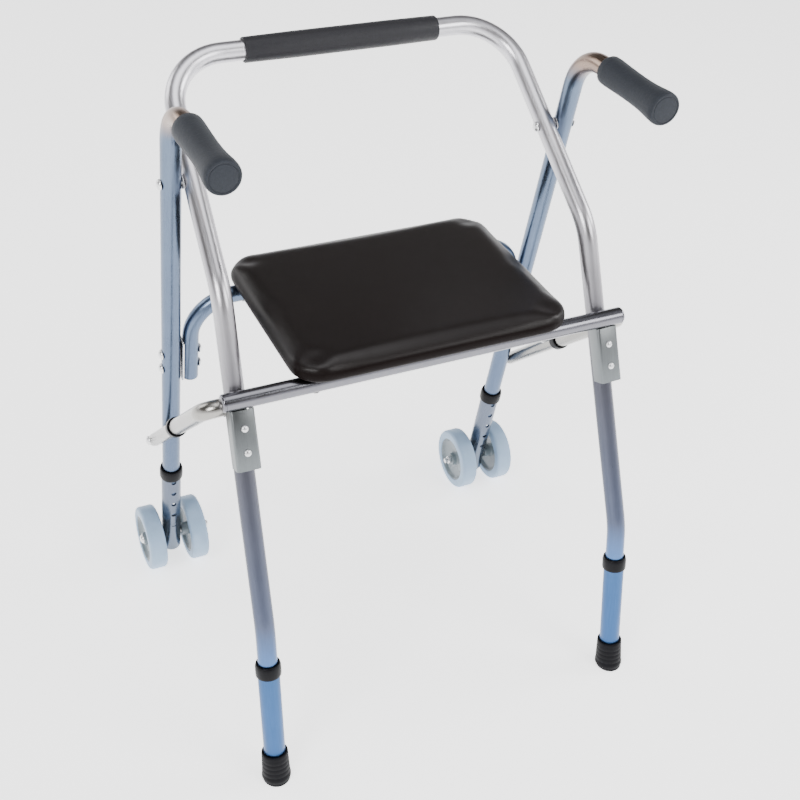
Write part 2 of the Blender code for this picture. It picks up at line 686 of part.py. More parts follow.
def strut_direction():
    """Unit vector from the strut's front hinge to its rear bolt."""
    return (point(0, *STRUT_REAR) - point(0, *STRUT_FRONT)).normalized()


def build_strut_outer(word, side, body):
    """The outer tube, whose front end turns in to meet the leg, and its end bush."""
    down = strut_direction()
    hinge = point(side * STRUT_X, *STRUT_FRONT)
    leg_x = abs(leg_point_at(side, STRUT_FRONT[1]).x)
    mouth = hinge + down * STRUT_OUTER_LENGTH
    inward = Vector((side * (leg_x + BRACKET_HALF + 0.0012), hinge.y, hinge.z))
    path = rounded_path([mouth, hinge, inward], (0.020,), (4,))
    tube = swept_tube(path, BAR_R, TUBE_WALL)
    add_piece(f"strut_outer_{word}", tube, FINISH["tube"], body)
    bush = [(0.0116, -0.008), (0.0134, -0.008), (0.0136, -0.006), (0.0136, 0.004), (0.0126, 0.007),
            (0.0100, 0.007), (0.0100, GAP), (0.0116, GAP)]
    add_piece(f"strut_bush_{word}", turned(bush, mouth, down), FINISH["black"], body)


def build_strut_inner(word, side, body):
    """The inner tube with its round closed end, and the bolt that heads its rear pivot."""
    down = strut_direction()
    rear = point(side * STRUT_X, *STRUT_REAR)
    start = STRUT_OUTER_LENGTH - STRUT_OVERLAP - (point(0, *STRUT_REAR) - point(0, *STRUT_FRONT)).length
    bore = THIN_R - TUBE_WALL
    profile = [(0, STRUT_END - 0.003), (bore, STRUT_END - 0.006), (bore, start), (THIN_R, start),
               (THIN_R, STRUT_END - 0.006), (THIN_R - 0.0025, STRUT_END - 0.0015), (0, STRUT_END)]
    tube = add_piece(f"strut_inner_{word}", turned(profile, rear, down), FINISH["tube"], body)
    across = Vector((1, 0, 0))
    add_boolean(tube, drill(f"cut_strut_{word}", rear, across, SHANK_HOLE_R, 0.02), "DIFFERENCE")
    head_at, tip = THIN_R + GAP, -THIN_R + 0.0005
    bolt = [(0, tip), (SHANK_R, tip), (SHANK_R, head_at)] + dome(0.0068, 0.0045, head_at, 1)
    bolt = [(radius, side * along) for radius, along in bolt]
    add_piece(f"strut_bolt_{word}", turned(bolt, rear, across, 10), FINISH["steel"], body)


def build_walker():
    pivot = point(0, *pivot_centre())
    build_leg_frame(make_body("leg_frame", pivot))
    handle_frame = make_body("handle_frame")
    build_rear_bar(handle_frame)
    build_seat(make_body("seat", point(0, SEAT_BAR_BACK, SEAT_BAR_Z)))
    for word, side in SIDES:
        build_handle(word, side, handle_frame)
        build_pivot(word, side, handle_frame)
        foot = make_body(f"foot_leg_{word}", sleeve_point("foot", side, SLEEVES["foot"]["mouth"]))
        build_sleeve("foot", word, side, foot, FINISH["sleeve"])
        build_rubber_tip(word, side, foot)
        wheel_leg = make_body(f"wheel_leg_{word}", sleeve_point("wheel", side, SLEEVES["wheel"]["mouth"]))
        sleeve = build_sleeve("wheel", word, side, wheel_leg, FINISH["sleeve"])
        axle_hole = drill(f"cut_axle_{word}", handle_point(side, AXLE_Z), Vector((1, 0, 0)), 0.0045, 0.03)
        add_boolean(sleeve, axle_hole, "DIFFERENCE")
        build_axle(word, side, wheel_leg)
        for kind in ("foot", "wheel"):
            pin = make_body(f"{kind}_pin_{word}", button_place(kind, side)[0])
            build_snap_button(kind, word, side, pin)
        for place in ("inner", "outer"):
            axle = point(side * WHEEL_PAIR_X, AXLE_BACK, AXLE_Z)
            build_wheel(word, place, side, make_body(f"wheel_{word}_{place}", axle))
        strut_sleeve = make_body(f"strut_sleeve_{word}", point(side * STRUT_X, *STRUT_FRONT))
        build_strut_outer(word, side, strut_sleeve)
        strut_rod = make_body(f"strut_rod_{word}", point(side * STRUT_X, *STRUT_REAR))
        build_strut_inner(word, side, strut_rod)


clear_scene()
FINISH = {
    "tube": make_material("polished_tube", (0.78, 0.78, 0.80), 0.18, 1.0),
    "sleeve": make_material("satin_sleeve", (0.55, 0.66, 0.80), 0.35, 0.9),
    "steel": make_material("zinc_steel", (0.72, 0.72, 0.72), 0.25, 1.0),
    "black": make_material("black_plastic", (0.02, 0.02, 0.025), 0.45, 0.0),
    "cap": make_material("bar_cap", (0.70, 0.70, 0.72), 0.30, 0.6),
    "rubber": make_material("black_rubber", (0.02, 0.02, 0.02), 0.75, 0.0),
    "foam": make_material("foam_sleeve", (0.03, 0.03, 0.035), 0.85, 0.0),
    "grip": make_material("grip_foam", (0.05, 0.055, 0.065), 0.80, 0.0),
    "tread": make_material("pale_tread", (0.55, 0.58, 0.62), 0.60, 0.0),
    "hub": make_material("grey_hub", (0.30, 0.32, 0.36), 0.50, 0.0),
    "board": make_material("seat_board", (0.03, 0.03, 0.03), 0.60, 0.0),
    "cushion": make_material("seat_cover", (0.025, 0.02, 0.02), 0.40, 0.0),
}
build_walker()
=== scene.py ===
"""Looks of a folding walker with front wheels, rear rubber feet and a lift-up seat.

Metres, +Z up. The user stands on the -Y side and walks towards +Y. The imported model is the
frame: every surface here lies where its node lies and rides on that node's body.
Right-hand pieces (+X) are modelled once, and their left-hand partners are mirrored copies.
"""
import json
import math

import bpy
from mathutils import Euler, Matrix, Vector


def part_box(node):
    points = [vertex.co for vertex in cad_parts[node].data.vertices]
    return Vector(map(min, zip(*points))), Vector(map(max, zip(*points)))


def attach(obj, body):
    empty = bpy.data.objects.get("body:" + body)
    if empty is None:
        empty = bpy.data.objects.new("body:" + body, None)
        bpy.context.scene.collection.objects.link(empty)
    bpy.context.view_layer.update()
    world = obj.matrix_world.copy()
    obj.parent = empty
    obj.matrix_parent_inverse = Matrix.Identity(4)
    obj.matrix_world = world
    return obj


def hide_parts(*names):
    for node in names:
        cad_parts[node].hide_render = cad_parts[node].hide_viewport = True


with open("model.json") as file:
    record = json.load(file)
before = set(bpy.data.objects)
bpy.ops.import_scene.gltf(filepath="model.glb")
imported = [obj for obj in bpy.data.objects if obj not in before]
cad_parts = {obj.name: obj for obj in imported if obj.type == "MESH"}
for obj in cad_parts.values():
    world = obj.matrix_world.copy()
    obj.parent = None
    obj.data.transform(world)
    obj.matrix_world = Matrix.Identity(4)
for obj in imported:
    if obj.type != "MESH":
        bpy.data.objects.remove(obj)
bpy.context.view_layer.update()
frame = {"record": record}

BODY_OF = {node: body for body, nodes in frame["record"]["behaviour"]["bodies"].items() for node in nodes}

# Driving dimensions, in metres.
TUBE_R = 0.0127
TUBE_WALL = 0.0012
SLEEVE_R = 0.0143
SLEEVE_BORE_R = 0.0133
BAR_R = 0.0111
THIN_R = 0.0095
GAP = 0.0003
HOLE_PITCH = 0.0254
HOLE_COUNT = 5
HOLE_R = 0.0038

FRONT_Y = -0.2418
WHEEL_R = 0.050
WHEEL_WIDTH = 0.026
WHEEL_SPREAD = 0.033
WHEEL_PAIR_X = 0.2685

HANDLE_X = 0.2695
AXLE_BACK = 0.4535
AXLE_Z = WHEEL_R
LEAN = -0.1788
GRIP_Z = 0.8250
GRIP_REAR = 0.2520
GRIP_LENGTH = 0.1240

SEAT_BAR_Z = 0.5240
SEAT_BAR_BACK = AXLE_BACK + LEAN * (SEAT_BAR_Z - AXLE_Z)
FRONT_BAR_BACK = 0.1447
FRONT_BAR_Z = 0.5268
FRONT_BAR_HALF = 0.2720
BOARD_Z = 0.5385

STRUT_X = 0.2920
STRUT_OUTER_LENGTH = 0.1810
STRUT_OVERLAP = 0.0500
STRUT_END = 0.0140
BRACKET_HALF = 0.0153

SIDES_OF_TUBE = 40
SIDES_OF_WHEEL = 96
SIDES_OF_BOLT = 32
TOP_Z = 0.9                 # where the height tones end


def point(x, back, z):
    """A point from its x, its distance behind the feet and its height."""
    return Vector((x, FRONT_Y + back, z))


# Leg frame centreline on the +X side.
FOOT = point(0.2625, 0.0, 0.0)
SHIN_BEND = point(0.2606, 0.0446, 0.2376)
KNEE_BEND = point(0.2490, 0.2160, 0.6290)
TOP_CORNER = point(0.2345, 0.4635, 0.8150)
STRUT_FRONT = point(STRUT_X, 0.1628, 0.5075)
STRUT_REAR = point(STRUT_X, 0.4133, 0.2745)

X = Vector((1, 0, 0))
Y = Vector((0, 1, 0))
Z = Vector((0, 0, 1))
LEG_UP = (SHIN_BEND - FOOT).normalized()
LEG_REAR = (Y - LEG_UP * LEG_UP.y).normalized()
HANDLE_UP = Vector((0, LEAN, 1)).normalized()
HANDLE_FORWARD = Vector((0, -1, LEAN)).normalized()


def handle_point(z, x=HANDLE_X):
    """The point of the handle tube's straight run at a height."""
    return point(x, AXLE_BACK + LEAN * (z - AXLE_Z), z)


def foot_point(z):
    """The point of the rear leg's lowest run at a height."""
    return FOOT + LEG_UP * (z / LEG_UP.z)


def mirror(place):
    return Vector((-place.x, place.y, place.z))


# Modelling steps.

def deselect():
    bpy.ops.object.select_all(action="DESELECT")


def pick(*pieces):
    """Selects these pieces alone; the first is the active one."""
    deselect()
    for piece in pieces:
        piece.select_set(True)
    bpy.context.view_layer.objects.active = pieces[0]


def apply_place(piece):
    pick(piece)
    bpy.ops.object.transform_apply(location=True, rotation=True, scale=True)


def stand(piece, at, axis, about=0.0):
    """Turns a piece made along +Z to an axis, moves it there and applies its place."""
    turn = axis.normalized().to_track_quat("Z", "Y") @ Euler((0, 0, about)).to_quaternion()
    piece.matrix_world = Matrix.LocRotScale(at, turn, None)
    apply_place(piece)
    return piece


def apply_modifier(piece, kind, **settings):
    pick(piece)
    modifier = piece.modifiers.new(kind.title(), kind)
    for name, value in settings.items():
        setattr(modifier, name, value)
    bpy.ops.object.modifier_apply(modifier=modifier.name)


def soften(piece, width, segments=3, angle=30):
    """Rounds a piece's sharp edges."""
    apply_modifier(piece, "BEVEL", width=width, segments=segments, limit_method="ANGLE",
                   angle_limit=math.radians(angle), use_clamp_overlap=True, harden_normals=False)
    return piece


def open_outline(places):
    """A mesh line through places: a plane merged to one point, which is extruded on."""
    deselect()
    bpy.ops.mesh.primitive_plane_add(size=0.001, location=(0, 0, 0))
    piece = bpy.context.object
    bpy.context.tool_settings.mesh_select_mode = (True, False, False)
    bpy.ops.object.mode_set(mode="EDIT")
    bpy.ops.mesh.select_all(action="SELECT")
    bpy.ops.mesh.merge(type="CENTER")
    bpy.ops.transform.translate(value=places[0])
    for before, after in zip(places, places[1:]):
        bpy.ops.mesh.extrude_region_move(TRANSFORM_OT_translate={"value": after - before})
    bpy.ops.object.mode_set(mode="OBJECT")
    return piece


def tidy_mesh(piece, merge=0.00001):
    """Merges doubled points and turns every face outwards."""
    pick(piece)
    bpy.ops.object.mode_set(mode="EDIT")
    bpy.ops.mesh.select_all(action="SELECT")
    bpy.ops.mesh.remove_doubles(threshold=merge)
    bpy.ops.mesh.normals_make_consistent(inside=False)
    bpy.ops.object.mode_set(mode="OBJECT")
    return piece


def turned(outline, at, axis, sides=SIDES_OF_BOLT, edge=0.0, about=0.0):
    """A turned piece. Its outline is (radius, distance along the axis) points.

    An outline that starts and ends on the axis makes a solid; any other is closed on itself.
    """
    places = [Vector((radius, 0, along)) for radius, along in outline]
    if outline[0][0] > 0:
        places.append(places[0])
    piece = open_outline(places)
    bpy.ops.object.mode_set(mode="EDIT")
    bpy.ops.mesh.select_all(action="SELECT")
    bpy.ops.mesh.spin(steps=sides, angle=math.tau, center=(0, 0, 0), axis=(0, 0, 1))
    bpy.ops.object.mode_set(mode="OBJECT")
    tidy_mesh(piece)
    if edge:
        soften(piece, edge)
    return stand(piece, at, axis, about)


def dome(radius, height, start=0.0, steps=6):
    """Outline of a domed head from its rim to its crown on the axis."""
    arc = [(radius * math.cos(0.25 * math.tau * step / steps),
            start + height * math.sin(0.25 * math.tau * step / steps)) for step in range(steps)]
    return arc + [(0.0, start + height)]


def bent_tube(corners, radii, radius, wall=0.0, steps=14):
    """A tube along straight runs, with each inner corner bent on an arc of its radius."""
    short = 0.005
    knots = [(corners[0], corners[0], corners[0].lerp(corners[1], 0.01))]
    for before, corner, after, bend in zip(corners, corners[1:], corners[2:], radii):
        back = (before - corner).normalized()
        ahead = (after - corner).normalized()
        turn = math.pi - back.angle(ahead)
        reach = bend * math.tan(turn / 2)
        pull = bend * 4 / 3 * math.tan(turn / 4)
        start, end = corner + back * reach, corner + ahead * reach
        knots.append((start + back * short, start, start - back * pull))
        knots.append((end - ahead * pull, end, end + ahead * short))
    knots.append((corners[-1].lerp(corners[-2], 0.01), corners[-1], corners[-1]))

    deselect()
    bpy.ops.curve.primitive_bezier_curve_add(location=(0, 0, 0))
    piece = bpy.context.object
    curve = piece.data
    spline = curve.splines[0]
    spline.bezier_points.add(len(knots) - 2)
    for place, (left, middle, right) in zip(spline.bezier_points, knots):
        place.handle_left_type = place.handle_right_type = "FREE"
        place.handle_left, place.co, place.handle_right = left, middle, right
    spline.resolution_u = steps
    curve.dimensions = "3D"
    curve.bevel_depth = radius
    curve.bevel_resolution = (SIDES_OF_TUBE - 4) // 2
    curve.use_fill_caps = wall == 0.0
    bpy.ops.object.convert(target="MESH")
    if wall:
        apply_modifier(piece, "SOLIDIFY", thickness=wall, offset=-1.0)
    return tidy_mesh(piece)


def drilled(piece, places, axis, radius, depth=0.012):
    """Drills round holes through one wall, each centred on a place."""
    cutters = []
    for place in places:
        deselect()
        bpy.ops.mesh.primitive_cylinder_add(vertices=SIDES_OF_BOLT, radius=radius, depth=depth)
        cutters.append(stand(bpy.context.object, place, axis))
    pick(*cutters)
    if len(cutters) > 1:
        bpy.ops.object.join()
    cutter = bpy.context.object
    apply_modifier(piece, "BOOLEAN", operation="DIFFERENCE", solver="EXACT", object=cutter)
    bpy.data.objects.remove(cutter)
    return piece


def bent_plate(outline, at, x_axis, y_axis, depth, thickness, edge=0.0004):
    """A plate bent along an outline in the plane of two axes, and extruded along their cross product."""
    places = [at + x_axis * x + y_axis * y for x, y in outline]
    piece = open_outline(places)
    bpy.ops.object.mode_set(mode="EDIT")
    bpy.ops.mesh.select_all(action="SELECT")
    away = x_axis.cross(y_axis).normalized() * depth
    bpy.ops.mesh.extrude_region_move(TRANSFORM_OT_translate={"value": away})
    bpy.ops.object.mode_set(mode="OBJECT")
    tidy_mesh(piece)
    apply_modifier(piece, "SOLIDIFY", thickness=thickness, offset=0.0, use_even_offset=True)
    tidy_mesh(piece)
    return soften(piece, edge, 2, 50)


def select_edges(piece, test):
    """Selects the edges whose two ends pass a test."""
    mesh = piece.data
    bpy.context.tool_settings.mesh_select_mode = (False, True, False)
    mesh.polygons.foreach_set("select", [False] * len(mesh.polygons))
    mesh.vertices.foreach_set("select", [False] * len(mesh.vertices))
    for edge in mesh.edges:
        first, second = (mesh.vertices[index].co for index in edge.vertices)
        edge.select = test(first, second)


def rounded_slab(low, high, corner, corner_steps=8):
    """A slab whose four upright edges are rounded."""
    middle = (low + high) / 2
    deselect()
    bpy.ops.mesh.primitive_cube_add(size=1, location=middle, scale=high - low)
    piece = bpy.context.object
    apply_place(piece)
    select_edges(piece, lambda a, b: abs(a.z - b.z) > 0.001)
    bpy.ops.object.mode_set(mode="EDIT")
    bpy.ops.mesh.bevel(offset=corner, segments=corner_steps, affect="EDGES")
    bpy.ops.object.mode_set(mode="OBJECT")
    return tidy_mesh(piece)


# Shader maths and finishes.

class Wire:
    """A shader output that adds and multiplies with Math nodes."""

    def __init__(self, finish, socket):
        self.finish = finish
        self.socket = socket

    def maths(self, operation, first, second):
        return self.finish.node("ShaderNodeMath", {"operation": operation}, {0: first, 1: second})

    def __add__(self, other):
        return self.maths("ADD", self, other)

    def __mul__(self, other):
        return self.maths("MULTIPLY", self, other)

    __radd__ = __add__
    __rmul__ = __mul__


def socket_name(word):
    return word.replace("_", " ").title().replace("Ior", "IOR")


class Finish:
    """A material on a Principled shader, with a method that adds any node."""

    def __init__(self, name, **constants):
        self.material = bpy.data.materials.new(name)
        self.material.use_nodes = True
        self.tree = self.material.node_tree
        self.shader = self.tree.nodes["Principled BSDF"]
        self.feed(self.shader, {socket_name(word): value for word, value in constants.items()})

    def feed(self, node, sockets):
        for key, value in sockets.items():
            if isinstance(value, Wire):
                self.tree.links.new(value.socket, node.inputs[key])
            else:
                node.inputs[key].default_value = value

    def node(self, kind, settings=None, sockets=None, output=0):
        node = self.tree.nodes.new(kind)
        for name, value in (settings or {}).items():
            if name == "stops":
                for index, (place, shade) in enumerate(value):
                    stops = node.color_ramp.elements
                    stop = stops[index] if index < 2 else stops.new(place)
                    stop.position = place
                    stop.color = (*shade, 1)
            else:
                setattr(node, name, value)
        self.feed(node, sockets or {})
        return Wire(self, node.outputs[output])

    def places(self, stretch=(1, 1, 1)):
        """Object coordinates, in metres, stretched along the axes."""
        spot = self.node("ShaderNodeTexCoord", output="Object")
        return self.node("ShaderNodeMapping", sockets={"Vector": spot, "Scale": stretch})

    def noise(self, scale, detail=3.0, roughness=0.55, stretch=(1, 1, 1)):
        sockets = {"Vector": self.places(stretch), "Scale": scale, "Detail": detail, "Roughness": roughness}
        return self.node("ShaderNodeTexNoise", sockets=sockets)

    def cells(self, scale):
        sockets = {"Vector": self.places(), "Scale": scale}
        return self.node("ShaderNodeTexVoronoi", sockets=sockets, output="Distance")

    def ramp(self, value, stops):
        return self.node("ShaderNodeValToRGB", {"stops": stops}, {"Fac": value})

    def level(self, low, high):
        """A share that rises from 0 to 1 between two heights."""
        spot = self.node("ShaderNodeTexCoord", output="Object")
        height = self.node("ShaderNodeSeparateXYZ", sockets={"Vector": spot}, output="Z")
        return self.node("ShaderNodeMapRange", sockets={"Value": height, "From Min": low, "From Max": high})

    def blend(self, share, first, second):
        """A colour between two, by a share from 0 to 1."""
        return self.node("ShaderNodeMix", {"data_type": "RGBA"},
                         {0: share, 6: (*first, 1), 7: (*second, 1)}, output=2)

    def tinted(self, first, second):
        """Two colour outputs, multiplied."""
        return self.node("ShaderNodeMix", {"data_type": "RGBA", "blend_type": "MULTIPLY"},
                         {0: 1.0, 6: first, 7: second}, output=2)

    def surface(self, **links):
        self.feed(self.shader, {socket_name(word): wire for word, wire in links.items()})

    def bumps(self, height, distance):
        sockets = {"Height": height, "Distance": distance, "Strength": 1.0}
        bump = self.node("ShaderNodeBump", sockets=sockets)
        self.feed(self.shader, {"Normal": bump})


def drawn_metal(name, tones_with_painted_reflections, roughness, stretch):
    """Polished metal tube: fine lines left by drawing, handling haze, and tones that change with height. The
    darker and lighter colour of the lines is partly painted reflection streaks, and where the tones change
    with height they are painted reflections of the surroundings.
    """
    finish = Finish(name, metallic=1.0)
    haze = finish.noise(14, 4.0)
    streaks = finish.noise(60, 2.0, stretch=stretch)
    # The tone by height paints reflections of the surroundings into the metal's colour.
    tone_and_painted_reflection = finish.ramp(finish.level(0.0, TOP_Z), [(height / TOP_Z, shade) for height, shade in tones_with_painted_reflections])
    worn_and_painted_dark, clean_and_painted_bright, line_depth = 0.68, 1.20, 0.00003
    # Streaks and haze make the tube darker and lighter: drawing lines and wear, and also painted reflection
    # streaks along the tube.
    wear_and_painted_streaks = finish.blend(haze * 0.6 + streaks * 0.5, (worn_and_painted_dark,) * 3, (clean_and_painted_bright,) * 3)
    finish.surface(base_color=finish.tinted(tone_and_painted_reflection, wear_and_painted_streaks),
                   roughness=haze * 0.10 + streaks * 0.12 + (roughness - 0.11))
    finish.bumps(streaks, line_depth)
    return finish.material


ALONG_LEG = (14, 0.6, 0.6)
ALONG_BAR = (0.6, 14, 14)


def zinc_steel():
    """Bright plated steel of rivets, bolts and clips."""
    finish = Finish("zinc_steel", metallic=1.0)
    haze = finish.noise(220, 3.0)
    finish.surface(base_color=finish.blend(haze, (0.62, 0.63, 0.65), (0.86, 0.86, 0.86)),
                   roughness=haze * 0.18 + 0.20)
    finish.bumps(haze, 0.00004)
    return finish.material


def moulded(name, dark, light, roughness, grain_scale, grain, gloss=0.25):
    """Moulded plastic with a fine even grain."""
    finish = Finish(name, specular_ior_level=gloss)
    patches = finish.noise(35, 3.0)
    spots = finish.noise(grain_scale, 2.0)
    finish.surface(base_color=finish.blend(patches, dark, light),
                   roughness=patches * 0.12 + (roughness - 0.06))
    finish.bumps(spots, grain)
    return finish.material


def foam(name, dark, light, roughness=0.74, gloss=0.25):
    """Closed-cell foam: a matte skin pitted by fine cells, with painted shade that darkens the pits."""
    finish = Finish(name, sheen_weight=0.05, sheen_roughness=0.5, specular_ior_level=gloss)
    pits_and_painted_pit_shade = finish.cells(900)
    swell = finish.noise(260, 3.0)
    # The colour darkens into the cell pits: painted shade in the pits, along with the foam's uneven tone.
    finish.surface(base_color=finish.blend(swell * 0.6 + pits_and_painted_pit_shade * 0.5, dark, light),
                   roughness=swell * 0.12 + roughness)
    finish.bumps(pits_and_painted_pit_shade * 0.5 + swell, 0.00030)
    return finish.material


def seat_leather():
    """Smooth synthetic leather: fine pebble grain, soft creases, and a sheen that fades down its sides."""
    finish = Finish("seat_leather", specular_ior_level=0.06, coat_roughness=0.34)
    pebbles = finish.cells(850)
    pores = finish.noise(1400, 2.0)
    patches = finish.noise(7, 3.0)
    creases = finish.noise(26, 4.0, 0.6)
    sheen = finish.level(BOARD_Z + 0.016, BOARD_Z + 0.026)
    finish.surface(base_color=finish.blend(patches, (0.0026, 0.0012, 0.0010), (0.0052, 0.0026, 0.0023)),
                   roughness=patches * 0.10 + pores * 0.08 + 0.34, coat_weight=sheen * 0.65)
    finish.bumps(pebbles * 0.30 + pores * 0.20 + creases * 1.2, 0.00030)
    return finish.material


def black_board():
    """Black-stained plywood with long grain."""
    finish = Finish("black_board")
    grain = finish.noise(30, 5.0, stretch=(1, 14, 14))
    finish.surface(base_color=finish.blend(grain, (0.012, 0.011, 0.010), (0.045, 0.038, 0.032)),
                   roughness=grain * 0.2 + 0.55)
    finish.bumps(grain, 0.0003)
    return finish.material


# Colours of the metals, each at a height. On the leg, handle and strut tubes the change with height is
# painted reflection and highlight: the bright upper legs, the blue low on the legs and the dark middle, the
# warm handle bends and the warm strut tops.
LEG_TONES_WITH_PAINTED_REFLECTIONS = ((0.19, (0.080, 0.16, 0.34)), (0.25, (0.085, 0.10, 0.15)), (0.46, (0.090, 0.090, 0.105)),
             (0.60, (0.44, 0.43, 0.45)), (0.90, (0.74, 0.73, 0.77)))
# Handle tube: the warm brown at the top of the bend is a painted reflection of warm surroundings.
HANDLE_TONES_WITH_PAINTED_REFLECTION = ((0.10, (0.10, 0.14, 0.22)), (0.785, (0.13, 0.17, 0.24)), (0.815, (0.30, 0.22, 0.175)))
CROSS_BAR_TONES = ((0.0, (0.18, 0.18, 0.20)), (0.9, (0.18, 0.18, 0.20)))
# Strut tubes: lighter and warmer towards the top, a painted warm highlight.
STRUT_TONES_WITH_PAINTED_HIGHLIGHT = ((0.2, (0.26, 0.26, 0.26)), (0.5, (0.34, 0.33, 0.31)))
BRACKET_TONES = ((0.4, (0.15, 0.17, 0.18)), (0.55, (0.19, 0.20, 0.20)))
FOOT_SLEEVE_TONES = ((0.0, (0.040, 0.100, 0.24)), (0.2, (0.052, 0.115, 0.25)))
WHEEL_SLEEVE_TONES = ((0.0, (0.14, 0.17, 0.21)), (0.2, (0.13, 0.15, 0.20)))

FINISHES = {
    "leg_tube": drawn_metal("leg_tube", LEG_TONES_WITH_PAINTED_REFLECTIONS, 0.31, ALONG_LEG),
    "handle_tube": drawn_metal("handle_tube", HANDLE_TONES_WITH_PAINTED_REFLECTION, 0.29, ALONG_LEG),
    "cross_bar": drawn_metal("cross_bar", CROSS_BAR_TONES, 0.22, ALONG_BAR),
    "strut_tube": drawn_metal("strut_tube", STRUT_TONES_WITH_PAINTED_HIGHLIGHT, 0.25, ALONG_LEG),
    "bracket": drawn_metal("bracket", BRACKET_TONES, 0.36, ALONG_LEG),
    "foot_sleeve": drawn_metal("foot_sleeve", FOOT_SLEEVE_TONES, 0.36, ALONG_LEG),
    "wheel_sleeve": drawn_metal("wheel_sleeve", WHEEL_SLEEVE_TONES, 0.25, ALONG_LEG),
    "zinc": zinc_steel(),
    "black_plastic": moulded("black_plastic", (0.002, 0.002, 0.003), (0.006, 0.006, 0.008),
                             0.36, 900, 0.00004, 0.12),
    "rubber": moulded("rubber", (0.002, 0.002, 0.003), (0.005, 0.005, 0.007), 0.52, 700, 0.00006, 0.10),
    "tread": moulded("tread", (0.20, 0.30, 0.43), (0.32, 0.45, 0.62), 0.46, 500, 0.00010, 0.5),
    "hub": moulded("hub", (0.10, 0.13, 0.15), (0.20, 0.24, 0.26), 0.26, 600, 0.00006, 0.5),
    "foam": foam("foam", (0.004, 0.004, 0.006), (0.013, 0.013, 0.017), 0.46, 0.32),
    "grip": foam("grip", (0.006, 0.008, 0.011), (0.022, 0.026, 0.035), 0.62, 0.25),
    "leather": seat_leather(),
    "board": black_board(),
}


# Naming, riding and mirroring.

def dress(piece, name, node, finish, shows=True):
    """Names a piece, gives it its finish and the body of the node it stands for, and hides that node's part
    if it shows.
    """
    piece.name = name
    piece.data.name = name
    piece.data.materials.clear()
    piece.data.materials.append(FINISHES[finish])
    pick(piece)
    bpy.ops.object.shade_smooth_by_angle(angle=math.radians(32))
    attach(piece, BODY_OF[node])
    if shows:
        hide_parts(node)
    return piece


def mirrored_copy(piece):
    pick(piece)
    bpy.ops.object.duplicate(linked=False)
    copy = bpy.context.object
    copy.scale.x = -1
    apply_place(copy)
    return tidy_mesh(copy)


def both_sides(piece, node, finish, name=None):
    """Dresses a right-hand piece and its mirrored copy. {} in a node or a name stands for the side."""
    copy = mirrored_copy(piece)
    name = name or node + "_surface"
    stands = name == node + "_surface"
    dress(piece, name.format("right"), node.format("right"), finish, stands)
    dress(copy, name.format("left"), node.format("left"), finish, stands)


# Leg frame.

def leg_frame():
    tube_end = 0.28
    right = [FOOT.lerp(SHIN_BEND, tube_end), SHIN_BEND, KNEE_BEND, TOP_CORNER]
    corners = [mirror(place) for place in right] + list(reversed(right))
    bends = (0.150, 0.090, 0.075)
    tube = bent_tube(corners, (*bends, *reversed(bends)), TUBE_R)
    dress(tube, "backrest_frame_surface", "backrest_frame", "leg_tube")


def backrest_foam():
    """A foam sleeve over the bar, with soft ends and the slit it was slipped on by."""
    low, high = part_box("backrest_foam")
    outer, bore, half, swell = 0.0165, TUBE_R + 0.0002, high.x, 0.0006
    outline = [(bore, -half), (outer - swell, -half), (outer, -half * 0.5), (outer, half * 0.5),
               (outer - swell, half), (bore, half)]
    middle = Vector((0, TOP_CORNER.y, TOP_CORNER.z))
    sleeve = turned(outline, middle, X, 64, 0.0022)
    slit, depth = 0.0011, 0.0025
    rear = Vector((0, 0.55, -0.83)).normalized()
    deselect()
    bpy.ops.mesh.primitive_cube_add(size=1, scale=(slit, half * 2.2, depth * 2))
    cutter = stand(bpy.context.object, middle + rear * outer, rear, math.pi / 2)
    apply_modifier(sleeve, "BOOLEAN", operation="DIFFERENCE", solver="EXACT", object=cutter)
    bpy.data.objects.remove(cutter)
    dress(sleeve, "backrest_foam_surface", "backrest_foam", "foam")


def leg_bracket():
    """A channel bent round the front of the leg, with its two rivets."""
    length, face, wrap, plate, corner = 0.075, 0.0258, 0.0045, 0.0016, 0.0035
    half = BRACKET_HALF - plate / 2
    down = (SHIN_BEND - KNEE_BEND).normalized()
    across = (X - down * down.x).normalized()
    forward = across.cross(down)
    if forward.y > 0:
        forward = -forward
    bar = point(KNEE_BEND.x, FRONT_BAR_BACK, FRONT_BAR_Z)
    top = KNEE_BEND + down * ((bar - KNEE_BEND).dot(down) + BAR_R + 4 * GAP)
    bend = [(half - corner + corner * math.cos(0.25 * math.tau * step / 4),
             face - corner + corner * math.sin(0.25 * math.tau * step / 4)) for step in range(5)]
    outline = [(half, wrap), *bend, *[(-x, y) for x, y in reversed(bend)], (-half, wrap)]
    depth = length if across.cross(forward).dot(down) > 0 else -length
    both_sides(bent_plate(outline, top, across, forward, depth, plate), "leg_bracket_{}", "bracket")
    for number, distance in enumerate((0.023, 0.053)):
        place = top + down * distance + forward * (face + plate / 2)
        head = turned([(0, -0.0006), (0.0046, -0.0006), *dome(0.0045, 0.0024, 0.0003)], place, forward)
        both_sides(head, "leg_bracket_{}", "zinc", f"bracket_rivet_{{}}_{number}")


def strut_stud():
    """The shouldered stud that passes through the leg into the strut's elbow."""
    low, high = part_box("strut_stud_right")
    flange, boss_r, head_r, shank_r = 0.004, 0.0080, 0.0042, 0.0030
    inside, outside = low.x + 0.004 - STRUT_X, high.x - STRUT_X
    outline = list(reversed([(r, -a) for r, a in dome(head_r, 0.004, -inside)]))
    outline += [(shank_r, inside), (shank_r, outside - flange + 0.001), (boss_r, outside - flange + 0.001),
                (boss_r, outside), (0, outside)]
    both_sides(turned(outline, STRUT_FRONT, X, edge=0.0004), "strut_stud_{}", "zinc")


# Height-setting sleeves.

